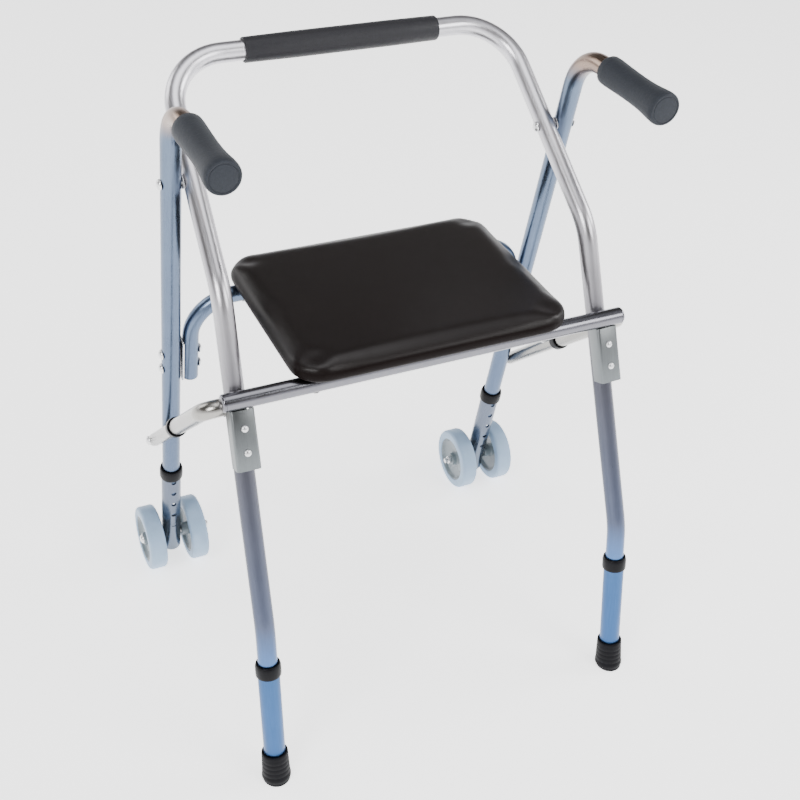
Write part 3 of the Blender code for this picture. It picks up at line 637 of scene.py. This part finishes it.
def sleeve(kind, base, up, facing, low, mouth, first_hole, button):
    """A drilled sleeve, its black collar and the snap button that shows in one of its holes."""
    middle = base(0.0)
    start, end = (base(low) - middle).length, (base(mouth) - middle).length
    rim = 0.0004
    tube = turned([(SLEEVE_BORE_R, start), (SLEEVE_R, start), (SLEEVE_R, end), (SLEEVE_BORE_R, end)],
                  middle, up, 64, rim)
    first = base(first_hole)
    holes = [first - up * HOLE_PITCH * number + facing * SLEEVE_R for number in range(HOLE_COUNT)]
    drilled(tube, holes, facing, HOLE_R)
    both_sides(tube, kind + "_sleeve_{}", kind + "_sleeve")

    skirt, lip = 0.013, 0.006
    outline = [(0.0150, -skirt), (0.0166, -skirt), (0.0168, -skirt + 0.003), (0.0168, 0.001),
               (0.0158, lip - 0.001), (0.0152, lip), (0.0134, lip), (0.0134, GAP), (0.0150, GAP)]
    collar = turned(outline, base(mouth), up, 64, 0.0007)
    both_sides(collar, kind + "_collar_{}", "black_plastic")

    head_r, flange_r, root, flange, crown = 0.0032, 0.0042, 0.0082, 0.0096, 0.0128
    outline = [(0, root), (flange_r, root), (flange_r, flange), (head_r, flange),
               *dome(head_r, 0.0016, crown - 0.0016)]
    pin = turned(outline, first - up * HOLE_PITCH * button, facing)
    both_sides(pin, kind + "_button_{}", "zinc")


def foot_sleeves():
    sleeve("foot", foot_point, LEG_UP, LEG_REAR, 0.0103, 0.1830, 0.1640, 2)


def wheel_sleeves():
    sleeve("wheel", handle_point, HANDLE_UP, HANDLE_FORWARD, 0.0220, 0.2010, 0.1835, 2)


def rubber_tip():
    """The foot: a lightly ribbed rubber cup with a rounded base, cut level with the floor."""
    height, floor, bore, base_r = 0.045, 0.0100, 0.0149, 0.0196
    outline = [(0, -0.012), (base_r - 0.0012, -0.012), (base_r - 0.0012, 0.0012), (base_r, 0.0034),
               (base_r, 0.0064), (0.0191, 0.0086)]
    ribs, pitch, groove = 4, 0.0072, 0.00025
    for number in range(ribs):
        foot = 0.0105 + pitch * number
        wall = 0.0188 - 0.0003 * number
        outline += [(wall - groove, foot), (wall, foot + 0.0010), (wall, foot + pitch - 0.0020),
                    (wall - groove, foot + pitch - 0.0010)]
    outline += [(0.0178, height - 0.0036), (0.0174, height - 0.0008), (0.0168, height), (bore, height),
                (bore, floor), (0, floor)]
    tip = turned(outline, FOOT, LEG_UP, 72, 0.0005)
    pick(tip)
    bpy.ops.object.mode_set(mode="EDIT")
    bpy.ops.mesh.select_all(action="SELECT")
    bpy.ops.mesh.bisect(plane_co=(0, 0, 0), plane_no=(0, 0, -1), clear_outer=True, use_fill=True)
    bpy.ops.object.mode_set(mode="OBJECT")
    both_sides(tidy_mesh(tip), "rubber_tip_{}", "rubber")


# Handle frame.

def handle():
    tube_end = GRIP_REAR - GRIP_LENGTH + 0.0130
    corners = [handle_point(0.1080), handle_point(GRIP_Z), point(HANDLE_X, tube_end, GRIP_Z)]
    both_sides(bent_tube(corners, (0.060,), TUBE_R, steps=28), "handle_tube_{}", "handle_tube")

    bore, floor = TUBE_R + 0.0002, GRIP_LENGTH - 0.0120
    outline = [(bore, 0), (0.0168, 0), (0.0186, 0.003), (0.0188, 0.012), (0.0182, 0.030), (0.0177, 0.050),
               (0.0176, 0.065), (0.0178, 0.078), (0.0184, 0.090), (0.0194, 0.101), (0.0204, 0.110),
               (0.0208, 0.117), (0.0205, 0.1210), (0.0194, 0.1236), (0.0172, GRIP_LENGTH), (0.0166, 0.1231),
               (0.0158, 0.1231), (0.0152, GRIP_LENGTH - 0.0002), (0, GRIP_LENGTH - 0.0002),
               (0, floor), (bore, floor)]
    outline = outline[-2:] + outline[:-2]
    grip = turned(outline, point(HANDLE_X, GRIP_REAR, GRIP_Z), -Y, 72, 0.0008)
    both_sides(grip, "handle_grip_{}", "grip")


BAR_BOLT_HEIGHTS = (0.4140, 0.4400)
SEAT_BAR_X = HANDLE_X - TUBE_R - 0.0030 - BAR_R


def rear_bar():
    bend_r, low_z = 0.060, 0.3910
    right = [handle_point(low_z, SEAT_BAR_X), handle_point(SEAT_BAR_Z, SEAT_BAR_X)]
    corners = [mirror(place) for place in right] + list(reversed(right))
    bar = bent_tube(corners, (bend_r, bend_r), BAR_R, TUBE_WALL)
    dress(bar, "rear_seat_bar_surface", "rear_seat_bar", "handle_tube")


def bar_mount():
    """A spacer plate between handle tube and seat bar, with two domed bolts on washers."""
    half_width, half_height, thickness = 0.011, 0.036, 0.0024
    plate_x = HANDLE_X - TUBE_R - GAP - thickness / 2
    middle = handle_point(sum(BAR_BOLT_HEIGHTS) / 2, plate_x)
    corner = Vector((half_width, half_height, thickness / 2))
    plate = rounded_slab(-corner, corner, 0.004, 4)
    turn = Matrix((HANDLE_FORWARD, HANDLE_UP, HANDLE_FORWARD.cross(HANDLE_UP))).transposed()
    plate.matrix_world = Matrix.Translation(middle) @ turn.to_4x4()
    apply_place(plate)
    both_sides(soften(plate, 0.0004, 2), "bar_mount_{}", "zinc")
    head_r, head_height, washer_r, washer = 0.0060, 0.0036, 0.0074, 0.0008
    head = [(0, 0), (washer_r, 0), (washer_r, washer), (head_r, washer), *dome(head_r, head_height, washer)]
    faces = (("inner", SEAT_BAR_X - BAR_R, -X), ("outer", HANDLE_X + TUBE_R, X))
    for number, z in enumerate(BAR_BOLT_HEIGHTS):
        for face, x, away in faces:
            bolt = turned(head, handle_point(z, x), away, edge=0.0002)
            both_sides(bolt, "bar_mount_{}", "zinc", f"seat_bar_bolt_{{}}_{face}_{number}")


def pivot():
    """The rivet on which the leg frame swings, and the washer between the two tubes."""
    low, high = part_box("pivot_rivet_right")
    centre = (low + high) / 2
    inside, outside = low.x + 0.0048 - centre.x, high.x - 0.0048 - centre.x
    head_r, head_height, shank_r = 0.0068, 0.0046, 0.0030
    outline = list(reversed([(r, -a) for r, a in dome(head_r, head_height, -inside)]))
    outline += [(shank_r, inside), (shank_r, outside), *dome(head_r, head_height, outside)]
    both_sides(turned(outline, centre, X), "pivot_rivet_{}", "zinc")
    low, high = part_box("pivot_washer_right")
    near, far = low.x - centre.x, high.x - centre.x
    bore, washer_r = 0.0036, 0.0095
    washer = turned([(bore, near), (washer_r, near), (washer_r, far), (bore, far)], centre, X, edge=0.0003)
    both_sides(washer, "pivot_washer_{}", "zinc")


# Wheels and axles.

def axle():
    inner_face = WHEEL_PAIR_X - WHEEL_SPREAD - WHEEL_WIDTH / 2
    outer_face = WHEEL_PAIR_X + WHEEL_SPREAD + WHEEL_WIDTH / 2
    axle_r, tail, head_r, head_height, nut_width = 0.004, 0.0115, 0.0070, 0.0048, 0.0065
    centre = point(0, AXLE_BACK, AXLE_Z)
    end = inner_face - tail
    outline = [(0, end), (axle_r - 0.0006, end), (axle_r, end + 0.0008), (axle_r, outer_face + GAP),
               *dome(head_r, head_height, outer_face + GAP)]
    both_sides(turned(outline, centre, X), "axle_bolt_{}", "zinc")
    near, far = inner_face - GAP, inner_face - GAP - nut_width
    collar_r = 0.0062
    hexagon = turned([(axle_r, near), (0.0070, near), (0.0070, far + 0.0015), (axle_r, far + 0.0015)],
                     centre, X, 6, 0.0004)
    both_sides(hexagon, "axle_nut_{}", "zinc")
    insert = turned([(axle_r, far + 0.0016), (collar_r - 0.0006, far + 0.0016),
                     (collar_r - 0.0008, far + 0.0004), (0.0050, far), (axle_r, far)], centre, X)
    both_sides(insert, "axle_nut_{}", "zinc", "axle_nut_collar_{}")


def arc(centre, radius, start, end, steps):
    """Outline points on an arc, by angles in turns from +radius towards +along."""
    angles = [math.tau * (start + (end - start) * step / steps) for step in range(steps + 1)]
    return [(centre[0] + radius * math.cos(angle), centre[1] + radius * math.sin(angle)) for angle in angles]


def wheel(place):
    """A pale tread ring with rounded shoulders on a dished hub."""
    direction = 1 if place == "outer" else -1
    middle = WHEEL_PAIR_X + direction * WHEEL_SPREAD
    half, tread_bore, shoulder = WHEEL_WIDTH / 2, 0.0365, 0.0048
    centre = point(middle, AXLE_BACK, AXLE_Z)
    away = X * direction
    tread = [(tread_bore, -half), *arc((WHEEL_R - shoulder, -half + shoulder), shoulder, 0.75, 1.0, 6),
             *arc((WHEEL_R - shoulder, half - shoulder), shoulder, 0.0, 0.25, 6), (tread_bore, half)]
    both_sides(turned(tread, centre, away, SIDES_OF_WHEEL, 0.0006), f"wheel_tread_{{}}_{place}", "tread")

    sleeve_face = abs(middle - HANDLE_X) - SLEEVE_R - 0.0006
    bore, boss_r, dish, cone = 0.0043, 0.0095, 0.0045, 0.0030
    rim_r, rim_inner, lip = tread_bore - 0.0002, 0.0335, 0.0010
    near = [(bore, sleeve_face), (boss_r, sleeve_face), (boss_r + 0.0008, dish + 0.002),
            (boss_r + 0.003, dish), (rim_inner - 0.003, dish + cone), (rim_inner, half - 0.003),
            (rim_inner + 0.0008, half - lip), (rim_r, half - lip)]
    far = [(boss_r, half) if r == boss_r else (bore, half) if r == bore else (r, a) for r, a in near]
    hub = [(r, -a) for r, a in near] + list(reversed(far))
    both_sides(turned(hub, centre, away, SIDES_OF_WHEEL, 0.0005), f"wheel_hub_{{}}_{place}", "hub")


# Seat.

def seat_board():
    low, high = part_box("seat_board")
    board = soften(rounded_slab(low, high, 0.035), 0.0012)
    dress(board, "seat_board_surface", "seat_board", "board")


def inflate(piece, held, most, pressure=4.0, frames=20):
    """Swells a closed cover by cloth simulation. Held points stay, and none moves further than most."""
    starts = [vertex.co.copy() for vertex in piece.data.vertices]
    group = piece.vertex_groups.new(name="held")
    group.add([index for index, place in enumerate(starts) if held(place)], 1.0, "REPLACE")
    cloth = piece.modifiers.new("Cover", "CLOTH")
    cloth.settings.vertex_group_mass = "held"
    cloth.settings.use_pressure = True
    cloth.settings.uniform_pressure_force = pressure
    cloth.settings.effector_weights.gravity = 0.0
    cloth.point_cache.frame_end = frames
    for moment in range(1, frames + 1):
        bpy.context.scene.frame_set(moment)
    swollen = piece.evaluated_get(bpy.context.evaluated_depsgraph_get())
    ends = [vertex.co.copy() for vertex in swollen.data.vertices]
    piece.modifiers.remove(cloth)
    piece.vertex_groups.remove(group)
    bpy.context.scene.frame_set(1)
    for vertex, start, end in zip(piece.data.vertices, starts, ends):
        move = end - start
        if move.length > most:
            move *= most / move.length
        vertex.co = start + move


def seat_cushion():
    """The padded cover: wrapped over the board's edge, crowned on top and rolled at its rim."""
    low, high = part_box("seat_cushion")
    inset = 0.0012
    low = low + Vector((inset, inset, 0.0))
    high = high - Vector((inset, inset, 0.0030))
    cover = rounded_slab(low, high, 0.040, 12)
    board_low, board_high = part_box("seat_board")
    recess_top = board_high.z + 0.0004

    def is_rim(top):
        return lambda a, b: abs(a.z - b.z) < 0.001 and abs(a.z - (high.z if top else low.z)) < 0.001

    for top, width, steps in ((True, 0.0140, 7), (False, 0.0040, 3)):
        select_edges(cover, is_rim(top))
        bpy.ops.object.mode_set(mode="EDIT")
        bpy.ops.mesh.bevel(offset=width, segments=steps, affect="EDGES")
        bpy.ops.object.mode_set(mode="OBJECT")
    hem, clearance = 0.004, 0.0012
    margin = board_low.x - low.x - hem - clearance
    select_edges(cover, lambda a, b: False)
    bpy.context.tool_settings.mesh_select_mode = (False, False, True)
    for face in cover.data.polygons:
        face.select = face.normal.z < -0.99 and face.area > 0.01
    bpy.ops.object.mode_set(mode="EDIT")
    bpy.ops.mesh.inset(thickness=margin)
    bpy.ops.mesh.extrude_region_move(TRANSFORM_OT_translate={"value": (0, 0, recess_top - low.z)})
    bpy.ops.object.mode_set(mode="OBJECT")
    tidy_mesh(cover)
    apply_modifier(cover, "REMESH", mode="VOXEL", voxel_size=0.0042)
    inflate(cover, lambda place: place.z < recess_top + 0.002, 0.0022, 1.5)
    apply_modifier(cover, "SMOOTH", factor=0.5, iterations=8)
    apply_modifier(cover, "SUBSURF", levels=1, render_levels=1)
    dress(cover, "seat_cushion_cover", "seat_cushion", "leather")
    pick(cover)
    bpy.ops.object.shade_smooth()


def seat_front_bar():
    ends = [point(x, FRONT_BAR_BACK, FRONT_BAR_Z) for x in (-FRONT_BAR_HALF, FRONT_BAR_HALF)]
    bar = bent_tube(ends, (), BAR_R, TUBE_WALL)
    dress(bar, "seat_front_bar_surface", "seat_front_bar", "cross_bar")
    plug = [(0, -0.008), (0.0094, -0.008), (0.0094, GAP), (BAR_R, GAP), (BAR_R, 0.0012),
            *arc((BAR_R - 0.0030, 0.0012), 0.0030, 0.0, 0.25, 5), (0, 0.0042)]
    both_sides(turned(plug, ends[1], X, 64), "bar_cap_{}", "cross_bar")


def seat_fittings():
    """Screws through the front bar into the board, and clips that turn on the rear bar."""
    bolt_x, shank_r, reach, head = 0.1580, 0.0025, 0.0065, 0.0034
    low = FRONT_BAR_Z - BAR_R - GAP
    length = BOARD_Z + reach - low
    outline = [*reversed([(r, -a) for r, a in dome(0.0052, head)]), (shank_r, 0), (shank_r, length),
               (0, length)]
    both_sides(turned(outline, point(bolt_x, FRONT_BAR_BACK, low), Z), "seat_bolt_{}", "zinc")

    clip_x, half, strap, reach_y = 0.1620, 0.012, 0.0015, 0.022
    ring_r = BAR_R + 0.0007 + strap / 2
    top = BOARD_Z - GAP - strap / 2 - SEAT_BAR_Z
    bend = arc((0, 0), ring_r, 0.16, -0.66, 22)
    outline = [(reach_y, top), (bend[0][0] + 0.0020, top), *bend, (bend[-1][0] - 0.0020, top),
               (-reach_y, top)]
    place = point(clip_x - half, SEAT_BAR_BACK, SEAT_BAR_Z)
    both_sides(bent_plate(outline, place, Y, Z, half * 2, strap), "seat_clip_{}", "zinc")
    for number, away in enumerate((-1, 1)):
        spot = point(clip_x, SEAT_BAR_BACK + away * 0.0172, SEAT_BAR_Z + top - strap / 2)
        screw = turned([(0, 0), (0.0032, 0), *dome(0.0032, 0.0016)], spot, -Z)
        both_sides(screw, "seat_clip_{}", "zinc", f"clip_screw_{{}}_{number}")


# Telescopic struts.

def strut():
    down = (STRUT_REAR - STRUT_FRONT).normalized()
    mouth = STRUT_FRONT + down * STRUT_OUTER_LENGTH
    low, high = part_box("strut_outer_right")
    inward = Vector((low.x, STRUT_FRONT.y, STRUT_FRONT.z))
    outer = bent_tube([mouth, STRUT_FRONT, inward], (0.020,), BAR_R, TUBE_WALL, 20)
    both_sides(outer, "strut_outer_{}", "strut_tube")
    bush = [(0.0116, -0.008), (0.0134, -0.008), (0.0136, -0.006), (0.0136, 0.004), (0.0126, 0.007),
            (0.0100, 0.007), (0.0100, GAP), (0.0116, GAP)]
    both_sides(turned(bush, mouth, down, 64, 0.0006), "strut_bush_{}", "black_plastic")

    start = STRUT_OUTER_LENGTH - STRUT_OVERLAP - (STRUT_REAR - STRUT_FRONT).length
    bore, crown = THIN_R - TUBE_WALL, 0.0060
    inner = [(0, STRUT_END - 0.003), (bore, STRUT_END - crown), (bore, start), (THIN_R, start),
             *[(r, a) for r, a in dome(THIN_R, crown, STRUT_END - crown, 8)]]
    both_sides(turned(inner, STRUT_REAR, down, 48), "strut_inner_{}", "strut_tube")
    head_at = THIN_R + GAP
    bolt = [(0, 0), (0.0030, 0), (0.0030, head_at), *dome(0.0068, 0.0045, head_at)]
    both_sides(turned(bolt, STRUT_REAR, X), "strut_bolt_{}", "zinc")


# Room, light and camera.

def room():
    deselect()
    bpy.ops.mesh.primitive_plane_add(size=30, location=(0, 0, -0.0002))
    floor = bpy.context.object
    floor.name = "floor"
    ground = Finish("floor", base_color=(0.85, 0.85, 0.85, 1), roughness=0.9, specular_ior_level=0.1,
                    emission_color=(1, 1, 1, 1), emission_strength=1.9)
    floor.data.materials.append(ground.material)

    world = bpy.data.worlds.new("room")
    bpy.context.scene.world = world
    world.use_nodes = True
    tree = world.node_tree
    sky = tree.nodes["Background"]
    sky.inputs["Strength"].default_value = 2.0
    place = tree.nodes.new("ShaderNodeTexCoord")
    parts = tree.nodes.new("ShaderNodeSeparateXYZ")
    ramp = tree.nodes.new("ShaderNodeValToRGB")
    shades = ((0.0, (0.50, 0.50, 0.52)), (0.50, (0.85, 0.85, 0.87)), (0.60, (0.80, 0.80, 0.83)),
              (0.64, (0.10, 0.09, 0.08)), (0.76, (0.05, 0.048, 0.045)), (0.90, (0.10, 0.10, 0.10)),
              (1.0, (0.55, 0.55, 0.58)))
    for index, (height, shade) in enumerate(shades):
        stops = ramp.color_ramp.elements
        stop = stops[index] if index < 2 else stops.new(height)
        stop.position = height
        stop.color = (*shade, 1)
    lift = tree.nodes.new("ShaderNodeMapRange")
    lift.inputs["From Min"].default_value = -1.0
    tree.links.new(place.outputs["Generated"], parts.inputs[0])
    tree.links.new(parts.outputs["Z"], lift.inputs["Value"])
    tree.links.new(lift.outputs[0], ramp.inputs["Fac"])
    tree.links.new(ramp.outputs["Color"], sky.inputs["Color"])

    lamps = (("key", (-2.4, -1.6, 2.6), 1.4, 80), ("side", (2.6, -0.4, 1.9), 1.2, 44),
             ("back", (-2.2, 2.8, 2.2), 1.8, 40), ("over", (0.0, -0.2, 3.4), 2.0, 30),
             ("front", (1.7, -2.3, 2.4), 1.5, 55))
    for name, place, size, power in lamps:
        bpy.ops.object.light_add(type="AREA", location=place)
        lamp = bpy.context.object
        lamp.name = name
        lamp.data.shape = "SQUARE"
        lamp.data.size = size
        lamp.data.energy = power
        aim = Vector((0, 0, 0.4)) - Vector(place)
        lamp.rotation_euler = aim.to_track_quat("-Z", "Y").to_euler()


def camera():
    """A camera above and to the left of the user's side, tipped a little."""
    azimuth, elevation, roll = math.radians(-27.35), math.radians(37.23), math.radians(4.14)
    bpy.ops.object.camera_add(location=(-0.6190, FRONT_Y - 0.9691, 1.4232))
    eye = bpy.context.object
    turn = (Matrix.Rotation(azimuth, 3, "Z") @ Matrix.Rotation(math.pi / 2 - elevation, 3, "X")
            @ Matrix.Rotation(roll, 3, "Z"))
    eye.rotation_euler = turn.to_euler()
    eye.data.lens = 56.32
    eye.data.sensor_width = 36.0
    bpy.context.scene.camera = eye


camera()
room()
leg_frame()
backrest_foam()
leg_bracket()
strut_stud()
foot_sleeves()
wheel_sleeves()
rubber_tip()
handle()
rear_bar()
bar_mount()
pivot()
axle()
wheel("inner")
wheel("outer")
seat_board()
seat_cushion()
seat_front_bar()
seat_fittings()
strut()
